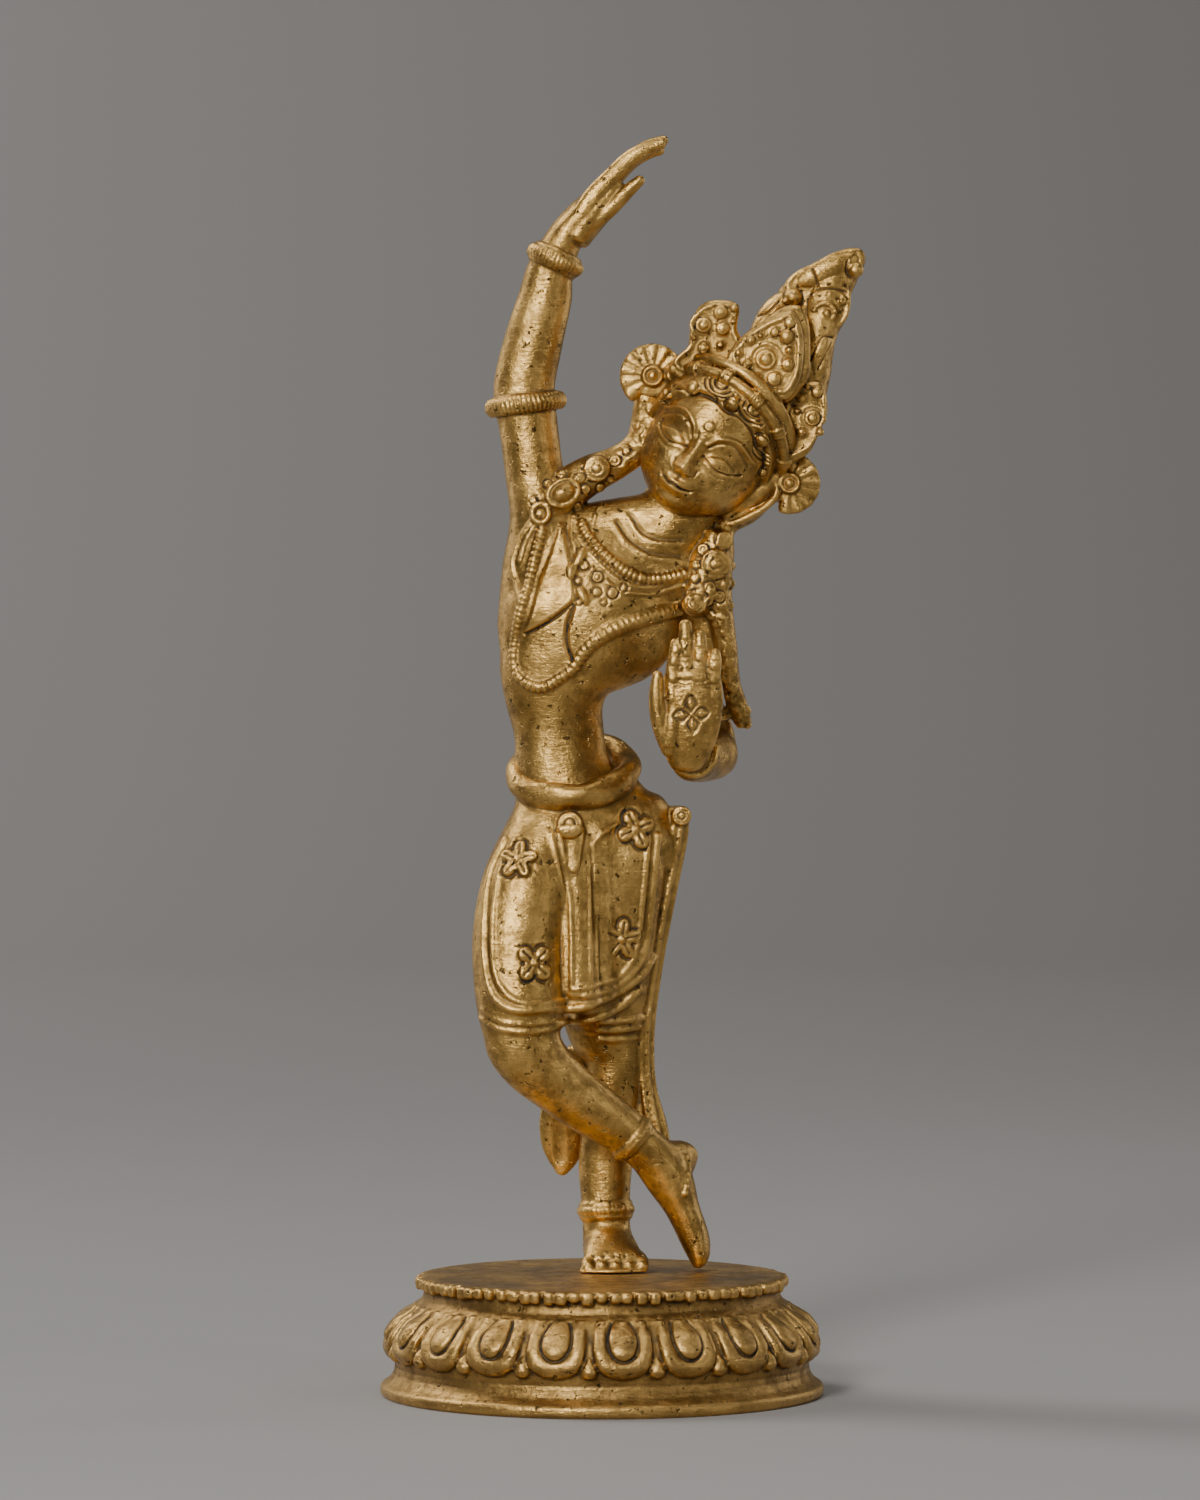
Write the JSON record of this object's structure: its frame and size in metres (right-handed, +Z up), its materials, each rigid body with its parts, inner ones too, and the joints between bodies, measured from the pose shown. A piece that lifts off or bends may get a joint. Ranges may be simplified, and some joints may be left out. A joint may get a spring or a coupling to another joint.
{
  "type": "cast brass figure on a lotus base",
  "caption": "Cast brass standing figure with a raised arm, tall crown and crossed legs, on a separate round lotus base with a flat underside.",
  "frame": {"origin": "centre of the lotus base's flat underside", "axes": "+Z up, the figure faces -Y, +X is to the viewer's right, towards which its head leans"},
  "size_m": [0.0885, 0.0806, 0.2292],
  "materials": {
    "figure_brass": "satin cast brass with a dark patina in the recesses",
    "base_brass": "satin cast brass, slightly darker, with fine casting pits"
  },
  "bodies": {
    "root": {"figure": "figure_brass", "lotus_base": "base_brass"}
  },
  "joints": []
}
